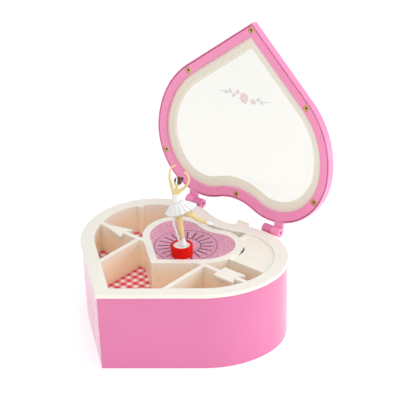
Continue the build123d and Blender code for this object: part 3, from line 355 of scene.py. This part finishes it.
skin = painted("skin_paint", (0.80, 0.63, 0.30), rough=0.42, inner=0.08)
hair = painted("hair_paint", (0.10, 0.025, 0.012), rough=0.38, grain=500.0, depth=0.05)

FINISHES = {
    "pink_plastic": pink,
    "ivory_plastic": ivory,
    "foil": foil,
    "gingham": checks,
    "brass": brass,
    "steel": steel,
    "clear_acrylic": clear,
    "black_plastic": black,
    "magnet": magnet,
    "red_plastic": red,
    "white_plastic": white,
    "skin_paint": skin,
    "hair_paint": hair,
}

for part in frame["record"]["subparts"]:
    node = frame["nodes"][part["node"]]
    node.data.materials.clear()
    node.data.materials.append(FINISHES[part["material_slot"]])
# the lid's bezel takes the darker copy of the ivory, painted shade
frame["nodes"]["lid_bezel"].data.materials[0] = ivory_painted_shade
# the lid's ring and frame take the lighter copy of the pink, painted light
for name in ("lid_ring", "lid_frame"):
    frame["nodes"][name].data.materials[0] = lid_pink_painted_light

# ------------------------------------------------------------------ mesh helpers


def piece(name, mesh, material, body):
    """Adds a finished mesh to the scene with its material, slot and body."""
    made = bpy.data.objects.new(name, mesh)
    bpy.context.scene.collection.objects.link(made)
    mesh.materials.append(material)
    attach(made, body)
    return made


def from_bmesh(name, shape, smooth=True):
    """A mesh from a bmesh, with its faces turned outwards."""
    bmesh.ops.recalc_face_normals(shape, faces=shape.faces)
    for face in shape.faces:
        face.smooth = smooth
    mesh = bpy.data.meshes.new(name)
    shape.to_mesh(mesh)
    shape.free()
    return mesh


def spline_at(points, place):
    """A point on a Catmull-Rom curve through rows of numbers: place 2.5 is halfway from row 2 to row 3."""
    first = min(int(place), len(points) - 2)
    t = place - first
    rows = [points[min(max(first + step, 0), len(points) - 1)] for step in (-1, 0, 1, 2)]
    result = []
    for p0, p1, p2, p3 in zip(*rows):
        bend = 2 * p0 - 5 * p1 + 4 * p2 - p3
        twist = 3 * p1 - p0 - 3 * p2 + p3
        result.append(0.5 * (2 * p1 + (p2 - p0) * t + bend * t * t + twist * t ** 3))
    return result


CAP_REACH = 0.55  # how far a tube's tip stands out, as a share of its smaller radius


def tube(shape, rows, sides=20, steps=8, wide_axis=None):
    """A closed rounded tube in bmesh shape. Each row is x, y, z, radius across, radius along wide_axis."""
    rings = []
    total = (len(rows) - 1) * steps
    axis = Vector(wide_axis) if wide_axis else Vector((0, 0, 1))
    samples = [spline_at(rows, i / steps) for i in range(total + 1)]
    for index, row in enumerate(samples):
        before = Vector(samples[max(index - 1, 0)][:3])
        after = Vector(samples[min(index + 1, total)][:3])
        along = (after - before).normalized()
        wide = (axis - along * axis.dot(along))
        wide = wide.normalized() if wide.length > 1e-6 else along.orthogonal().normalized()
        thin = along.cross(wide)
        ring = []
        for side in range(sides):
            angle = 2 * math.pi * side / sides
            offset = wide * (row[4] * math.cos(angle)) + thin * (row[3] * math.sin(angle))
            ring.append(shape.verts.new(Vector(row[:3]) + offset))
        rings.append(ring)
    for first, second in zip(rings, rings[1:]):
        for side in range(sides):
            nxt = (side + 1) % sides
            shape.faces.new((first[side], first[nxt], second[nxt], second[side]))
    for ring, index, way in ((rings[0], 0, -1), (rings[-1], total, 1)):
        row = samples[index]
        near = Vector(samples[1 if index == 0 else total - 1][:3])
        tip_way = (Vector(row[:3]) - near).normalized()
        cap = shape.verts.new(Vector(row[:3]) + tip_way * min(row[3], row[4]) * CAP_REACH)
        for side in range(sides):
            nxt = (side + 1) % sides
            shape.faces.new((ring[side], ring[nxt], cap))


def ball(shape, centre, sizes, turn=None):
    """An ellipsoid in bmesh shape."""
    matrix = Matrix.Translation(centre) @ (turn or Matrix.Identity(4)) @ Matrix.Diagonal((*sizes, 1))
    bmesh.ops.create_uvsphere(shape, u_segments=24, v_segments=16, radius=1.0, matrix=matrix)


def blended(mesh, voxel, smooth):
    """Joins overlapping closed shapes into one skin and smooths it this many times."""
    temp = bpy.data.objects.new("temp", mesh)
    bpy.context.scene.collection.objects.link(temp)
    remesh = temp.modifiers.new("remesh", "REMESH")
    remesh.mode = "VOXEL"
    remesh.voxel_size = voxel
    remesh.use_smooth_shade = True
    relax = temp.modifiers.new("relax", "SMOOTH")
    relax.factor = 0.5
    relax.iterations = smooth
    graph = bpy.context.evaluated_depsgraph_get()
    result = bpy.data.meshes.new_from_object(temp.evaluated_get(graph))
    bpy.data.objects.remove(temp)
    for polygon in result.polygons:
        polygon.use_smooth = True
    result.materials.clear()
    return result


# ------------------------------------------------------------------ dancer

cup_low, cup_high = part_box("figure_cup")
STAND_X = (cup_low.x + cup_high.x) / 2
STAND_Y = (cup_low.y + cup_high.y) / 2
STAGE_Z = cup_low.z
SHOULDER_TURN = math.radians(40.5)
ACROSS = Vector((math.cos(SHOULDER_TURN), math.sin(SHOULDER_TURN), 0))
FRONT = Vector((math.sin(SHOULDER_TURN), -math.cos(SHOULDER_TURN), 0))
UP = Vector((0, 0, 1))


def spot(lateral, height, forward=0.0):
    """A point of the figure in millimetres: along its shoulders, above the stage, and towards its front."""
    offset = ACROSS * lateral + FRONT * forward + UP * height
    return Vector((STAND_X, STAND_Y, STAGE_Z)) + offset * MM


def row(place, thin, wide=None):
    """One row of a tube: a place and its two radii in millimetres."""
    return (*place, thin * MM, (wide if wide is not None else thin) * MM)


def skin_shape():
    """Legs, trunk, neck, head and arms as one closed skin."""
    shape = bmesh.new()
    # standing leg: thigh, knee, calf and ankle
    tube(shape, [
        row(spot(-1.5, 38.0), 2.7), row(spot(-1.3, 33.0), 2.75), row(spot(-0.9, 28.5, 0.1), 2.5),
        row(spot(-0.5, 24.0, 0.15), 2.05), row(spot(0.0, 19.5, -0.1), 2.0), row(spot(0.6, 15.5, -0.1), 1.6),
        row(spot(1.0, 12.6), 1.25), row(spot(1.3, 10.4), 1.15),
    ])
    # raised leg, out behind with the knee a little bent
    tube(shape, [
        row(spot(0.5, 37.2, 0.3), 2.6), row(spot(4.4, 36.2, 2.6), 2.5), row(spot(8.3, 34.8, 4.9), 2.2),
        row(spot(12.0, 32.8, 7.0), 1.75), row(spot(14.6, 31.9, 8.6), 1.75), row(spot(17.4, 31.7, 10.3), 1.5),
        row(spot(20.4, 31.7, 12.0), 1.05),
    ])
    # trunk
    tube(shape, [
        row(spot(-1.2, 35.5), 2.3, 2.9), row(spot(-1.8, 39.0), 2.2, 2.7), row(spot(-2.8, 42.3), 1.7, 2.1),
        row(spot(-2.9, 46.4), 1.9, 2.6), row(spot(-2.7, 49.8), 2.0, 3.1), row(spot(-2.6, 52.2), 1.5, 3.1),
        row(spot(-2.5, 53.5), 1.0, 1.9),
    ], wide_axis=ACROSS)
    tube(shape, [row(spot(-2.5, 52.0), 1.3), row(spot(-2.2, 54.4), 1.05), row(spot(-1.9, 56.8), 1.1)])
    # head, turned to the side and bowed a little
    ball(shape, spot(-1.6, 59.2), (2.35 * MM, 2.55 * MM, 2.95 * MM))
    ball(shape, spot(-2.8, 58.1, 0.5), (1.3 * MM, 1.3 * MM, 1.5 * MM))
    ball(shape, spot(-4.2, 58.7, 0.75), (0.42 * MM, 0.35 * MM, 0.45 * MM))
    # arms rounded over the head, with slim hands
    tube(shape, [
        row(spot(-4.8, 51.9), 1.35), row(spot(-5.7, 55.2), 1.2), row(spot(-6.6, 59.2), 1.0),
        row(spot(-7.1, 63.4), 0.9), row(spot(-6.7, 67.4), 0.8), row(spot(-5.8, 70.4), 0.62, 0.7),
        row(spot(-4.4, 72.1), 0.45, 0.8), row(spot(-2.7, 72.5), 0.3, 0.55),
    ])
    tube(shape, [
        row(spot(-0.4, 51.9), 1.35), row(spot(2.4, 53.6), 1.2), row(spot(5.1, 56.6), 1.0),
        row(spot(6.5, 60.2), 0.9), row(spot(6.3, 63.4), 0.8), row(spot(5.5, 65.4), 0.6, 0.7),
        row(spot(4.4, 66.7), 0.45, 0.8), row(spot(3.2, 67.2), 0.3, 0.5),
    ])
    return blended(from_bmesh("dancer_skin", shape), 0.16 * MM, smooth=5)


def shoe_shape():
    """Two ballet slippers: one on the points of the toes, one on the raised foot."""
    shape = bmesh.new()
    tube(shape, [
        row(spot(1.0, 13.4), 1.3), row(spot(1.2, 11.6), 1.6), row(spot(1.2, 9.8, 0.2), 1.9, 2.4),
        row(spot(1.0, 8.2, 0.3), 2.2, 3.1), row(spot(0.9, 7.25, 0.3), 2.0, 2.9),
    ], steps=6, wide_axis=ACROSS)
    tube(shape, [
        row(spot(19.3, 31.7, 11.4), 1.3), row(spot(20.6, 31.65, 12.1), 1.35),
        row(spot(22.0, 31.55, 12.9), 1.1), row(spot(23.0, 31.45, 13.5), 0.5),
    ], steps=6)
    return blended(from_bmesh("dancer_shoes", shape), 0.14 * MM, smooth=3)


def hair_shape():
    """Hair drawn back over the head into a bun, with combed ridges."""
    shape = bmesh.new()
    centre = spot(-1.0, 60.0, -0.35)
    ball(shape, centre, (2.95 * MM, 3.05 * MM, 3.05 * MM))
    ball(shape, spot(1.5, 61.4, -0.7), (1.55 * MM, 1.5 * MM, 1.4 * MM))
    mesh = blended(from_bmesh("dancer_hairdo", shape), 0.16 * MM, smooth=3)
    ridges, ridge_height = 26, 0.06 * MM
    for vertex in mesh.vertices:
        off = vertex.co - centre
        turn = math.atan2(off.z, off.dot(FRONT))
        vertex.co += off.normalized() * (ridge_height * math.sin(ridges * turn))
    return mesh


def band_shape():
    """A white band round the hair."""
    shape = bmesh.new()
    rows = []
    steps = 12
    for step in range(steps + 1):
        angle = math.pi * (step / steps) * 1.15 - 0.25
        place = spot(-2.2 + 0.3 * math.sin(angle), 59.8 + 2.95 * math.sin(angle), 2.75 * math.cos(angle))
        rows.append(row(place, 0.28, 0.5))
    tube(shape, rows, sides=10, steps=3, wide_axis=ACROSS)
    return from_bmesh("dancer_hairband", shape)


def bodice_shape():
    """The close-fitting bodice with a rounded neckline."""
    shape = bmesh.new()
    tube(shape, [
        row(spot(-1.6, 37.0), 2.5, 3.1), row(spot(-2.0, 40.0), 2.4, 2.9), row(spot(-2.5, 43.0), 2.15, 2.7),
        row(spot(-2.8, 45.6), 2.2, 2.9), row(spot(-2.75, 47.8), 2.35, 3.3), row(spot(-2.7, 49.8), 2.2, 3.4),
    ], wide_axis=ACROSS, sides=40)
    return from_bmesh("dancer_bodice", shape)


SKIRT_TILT = math.radians(17.0)
SKIRT_THICK = 0.34 * MM
WAIST_WIDE, WAIST_DEEP = 2.6, 2.1  # half sizes in millimetres, along the shoulders and front to back
HEM_WIDE, HEM_DEEP = 11.7, 6.8


def skirt_shape(name, share, phase, folds, lower):
    """One pleated layer of the skirt, flaring from the waist to a wavy hem, with some thickness.

    share scales the hem, phase shifts the folds, and lower drops the hem in millimetres.
    """
    shape = bmesh.new()
    waist = spot(-2.2, 43.6)
    hem = spot(0.5, 36.6 - lower)
    side_axis = (ACROSS * math.cos(SKIRT_TILT) + UP * math.sin(SKIRT_TILT)).normalized()
    up_axis = (-ACROSS * math.sin(SKIRT_TILT) + UP * math.cos(SKIRT_TILT)).normalized()
    around, out = 168, 14
    grids = []
    for layer in (0.0, SKIRT_THICK):
        grid = []
        for k in range(out + 1):
            t = k / out
            flare = t ** 0.8
            centre = waist.lerp(hem, t ** 1.1)
            ring = []
            for n in range(around):
                angle = 2 * math.pi * n / around
                fold = math.sin(folds * angle + phase)
                wide = (WAIST_WIDE + (HEM_WIDE * share - WAIST_WIDE) * flare) * (1 + 0.04 * t * fold)
                deep = (WAIST_DEEP + (HEM_DEEP * share - WAIST_DEEP) * flare) * (1 + 0.06 * t * fold)
                height = 0.45 * t * fold + 0.4 * t * math.sin(2 * angle + 0.7)
                sideways = side_axis * (wide * MM * math.cos(angle))
                place = centre + sideways + FRONT * (deep * MM * math.sin(angle))
                ring.append(shape.verts.new(place + up_axis * (height * MM - layer)))
            grid.append(ring)
        grids.append(grid)
    for grid, flip in zip(grids, (False, True)):
        for first, second in zip(grid, grid[1:]):
            for n in range(around):
                m = (n + 1) % around
                corners = (first[n], second[n], second[m], first[m])
                shape.faces.new(corners[::-1] if flip else corners)
    for edge_ring in (0, -1):
        top, under = grids[0][edge_ring], grids[1][edge_ring]
        for n in range(around):
            m = (n + 1) % around
            shape.faces.new((top[n], top[m], under[m], under[n]))
    return from_bmesh(name, shape)


def marks_shape(name, places, sizes):
    """Small painted marks on the face."""
    shape = bmesh.new()
    for place in places:
        ball(shape, place, [s * MM for s in sizes])
    return from_bmesh(name, shape)


dancer_skin = piece("dancer_skin", skin_shape(), skin, "figure")
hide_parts("dancer")
piece("dancer_shoes", shoe_shape(), white, "figure")
dancer_hairdo = piece("dancer_hairdo", hair_shape(), hair, "figure")
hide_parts("dancer_hair")
piece("dancer_hairband", band_shape(), white, "figure")
dancer_bodice = piece("dancer_bodice", bodice_shape(), white, "figure")
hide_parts("dancer_dress")
skirt_top = skirt_shape("dancer_skirt_top", share=1.0, phase=0.0, folds=18, lower=0.0)
piece("dancer_skirt_top", skirt_top, white, "figure")
skirt_under = skirt_shape("dancer_skirt_under", share=0.9, phase=1.3, folds=15, lower=0.9)
piece("dancer_skirt_under", skirt_under, white, "figure")
eye_places = [spot(-3.65, 59.55, 0.95), spot(-3.55, 59.6, -0.75)]
eyes = marks_shape("dancer_eyes", eye_places, (0.22, 0.22, 0.14))
piece("dancer_eyes", eyes, hair, "figure")
lips = painted("lip_paint", (0.66, 0.10, 0.12), rough=0.35)
mouth = marks_shape("dancer_lips", [spot(-4.05, 57.65, 0.6)], (0.2, 0.25, 0.12))
piece("dancer_lips", mouth, lips, "figure")

# ------------------------------------------------------------------ print on the window

LID_HINGE = next(j for j in frame["record"]["behaviour"]["joints"] if j["name"] == "lid_hinge")
HINGE = Vector(LID_HINGE["pos_m"])
OPEN_ANGLE = math.radians(LID_HINGE["range_deg"][1])
GLASS_HEIGHT = 4.7  # inner face of the window above the hinge axis, with the lid shut, in millimetres
INK_EDGE = 0.01  # height of the ink's edge off the glass, in millimetres
FLOWER_X = -3.6
STEM_Y = -14.7


def on_window(x, y, off):
    """A point on the open lid, in millimetres: x and y as on the shut lid, off the window's inner face."""
    back, up = y * MM - HINGE.y, (GLASS_HEIGHT - off) * MM
    c, s = math.cos(OPEN_ANGLE), math.sin(OPEN_ANGLE)
    return Vector((x * MM, HINGE.y + back * c + up * s, HINGE.z - back * s + up * c))


def leaf(shape, start, end, half_width, thick=0.06, bend=0.0):
    """One thin petal or leaf of ink, pointed at both ends and highest along its middle.

    Sizes are in millimetres, and bend is the bow of its middle as a share of its length.
    """
    steps = 10
    length = math.hypot(end[0] - start[0], end[1] - start[1])
    along = ((end[0] - start[0]) / length, (end[1] - start[1]) / length)
    rows = []
    for k in range(steps + 1):
        t = k / steps
        swell = half_width * math.sin(math.pi * t) ** 0.7 if 0 < k < steps else 0.02
        side = bend * length * 4 * t * (1 - t)
        middle_x = start[0] + along[0] * length * t - along[1] * side
        middle_y = start[1] + along[1] * length * t + along[0] * side
        row_verts = []
        for w, off in ((-1, INK_EDGE), (0, thick), (1, INK_EDGE)):
            place = on_window(middle_x - along[1] * swell * w, middle_y + along[0] * swell * w, off)
            row_verts.append(shape.verts.new(place))
        rows.append(row_verts)
    for first, second in zip(rows, rows[1:]):
        for a, b in ((0, 1), (1, 2), (2, 0)):
            shape.faces.new((first[a], first[b], second[b], second[a]))
    shape.faces.new(rows[0])
    shape.faces.new(rows[-1])


def flower_shape():
    """An open flower of two rings of petals, with two smaller buds."""
    shape = bmesh.new()
    petal_rings = (
        ((FLOWER_X, -13.4), 4.6, 7, 0.2),
        ((FLOWER_X, -13.4), 2.4, 5, 0.6),
        ((-10.0, -16.6), 2.2, 5, 0.0),
        ((4.4, -12.6), 2.4, 5, 0.4),
    )
    for centre, reach, petals, turn in petal_rings:
        for k in range(petals):
            angle = turn + 2 * math.pi * k / petals
            tip = (centre[0] + reach * math.cos(angle), centre[1] + reach * math.sin(angle))
            leaf(shape, centre, tip, reach * 0.36, thick=0.06 + 0.004 * k)
    return from_bmesh("window_flower", shape, smooth=False)


def sprig_shape():
    """Two long stems with leaves, either side of the flower."""
    shape = bmesh.new()
    for way in (-1, 1):
        root = FLOWER_X + 7.0 * way
        leaf(shape, (root, -14.6), (root + 18.0 * way, -14.8 - 1.8 * way), 0.35, thick=0.04, bend=0.04)
        for out, length, tilt in ((1.0, 5.0, 0.75), (5.0, 4.2, -0.7), (8.5, 3.6, 0.6)):
            x = root + out * way
            tip = (x + length * math.cos(tilt) * way, STEM_Y + length * math.sin(tilt))
            leaf(shape, (x, STEM_Y), tip, 0.8, thick=0.05)
    return from_bmesh("window_sprig", shape, smooth=False)


pale_rose = painted("pale_rose_ink", (0.86, 0.72, 0.71), rough=0.5, variation=0.03)
pale_grey = painted("pale_grey_ink", (0.66, 0.68, 0.65), rough=0.5, variation=0.03)
piece("window_flower", flower_shape(), pale_rose, "lid")
piece("window_sprig", sprig_shape(), pale_grey, "lid")

# ------------------------------------------------------------------ floor, light and camera


FLOOR_GLOW = 0.50  # the paper is lit a little from behind
FLOOR_RADIUS = 3.0
FLOOR_GAP = 0.02 * MM
WORLD_STRENGTH = 0.52
LIT_PLACE = Vector((0.0, 0.02, 0.06))  # the middle of the case


def floor_material():
    """Pale matt paper."""
    material, tree, shader, where = start("floor_paper")
    grain = cloud(tree, where, 60.0, 4.0)
    tint = blend_colours(tree, grain, (0.66, 0.66, 0.66, 1), (0.70, 0.70, 0.70, 1))
    tree.links.new(tint, shader.inputs["Base Color"])
    shader.inputs["Roughness"].default_value = 0.9
    shader.inputs["Emission Color"].default_value = (1, 1, 1, 1)
    shader.inputs["Emission Strength"].default_value = FLOOR_GLOW
    return material


def floor_plane():
    """The paper under the box."""
    shape = bmesh.new()
    bmesh.ops.create_circle(shape, cap_ends=True, segments=96, radius=FLOOR_RADIUS)
    mesh = from_bmesh("floor", shape, smooth=False)
    made = bpy.data.objects.new("floor", mesh)
    bpy.context.scene.collection.objects.link(made)
    made.location.z = CAD_BOX[0].z - FLOOR_GAP
    mesh.materials.append(floor_material())


def soft_light(name, place, size, power):
    """A soft box of this size, in metres, that points at the middle of the case."""
    data = bpy.data.lights.new(name, "AREA")
    data.shape = "RECTANGLE"
    data.size, data.size_y = size
    data.energy = power
    made = bpy.data.objects.new(name, data)
    bpy.context.scene.collection.objects.link(made)
    made.location = place
    made.rotation_mode = "QUATERNION"
    made.rotation_quaternion = (LIT_PLACE - Vector(place)).to_track_quat("-Z", "Y")
    return made


def studio():
    """An even pale room with four soft boxes."""
    world = bpy.data.worlds.new("studio")
    bpy.context.scene.world = world
    world.use_nodes = True
    back = world.node_tree.nodes["Background"]
    back.inputs["Color"].default_value = (1.0, 0.995, 0.99, 1)
    back.inputs["Strength"].default_value = WORLD_STRENGTH
    soft_light("light_key", (0.55, -0.78, 1.00), (0.7, 0.7), 4.3)
    soft_light("light_top", (-0.1, 0.15, 1.2), (1.0, 1.0), 3.7)
    soft_light("light_left", (-0.80, -0.75, 0.55), (0.6, 0.9), 0.6)
    soft_light("light_right", (0.95, 0.60, 0.42), (0.8, 0.9), 7.0)
    view = bpy.context.scene.view_settings
    view.view_transform = "Standard"
    view.look = "None"
    view.exposure = 0.0


CAMERA_PLACE = (0.7648, -0.8299, 0.7065)
CAMERA_RIGHT = (0.7596, 0.6500, -0.0246)
CAMERA_UP = (-0.2887, 0.3709, 0.8827)
FOCAL_LENGTH = 159.5
SENSOR_WIDTH = 36.0


def camera():
    """The camera in front, to the right and above."""
    right = Vector(CAMERA_RIGHT).normalized()
    up = Vector(CAMERA_UP)
    back = right.cross(up).normalized()
    up = back.cross(right)
    data = bpy.data.cameras.new("camera")
    data.sensor_width = SENSOR_WIDTH
    data.lens = FOCAL_LENGTH
    data.clip_start, data.clip_end = 0.05, 20.0
    made = bpy.data.objects.new("camera", data)
    bpy.context.scene.collection.objects.link(made)
    turn = Matrix((right, up, back)).transposed().to_4x4()
    made.matrix_world = Matrix.Translation(CAMERA_PLACE) @ turn
    bpy.context.scene.camera = made


floor_plane()
studio()
camera()
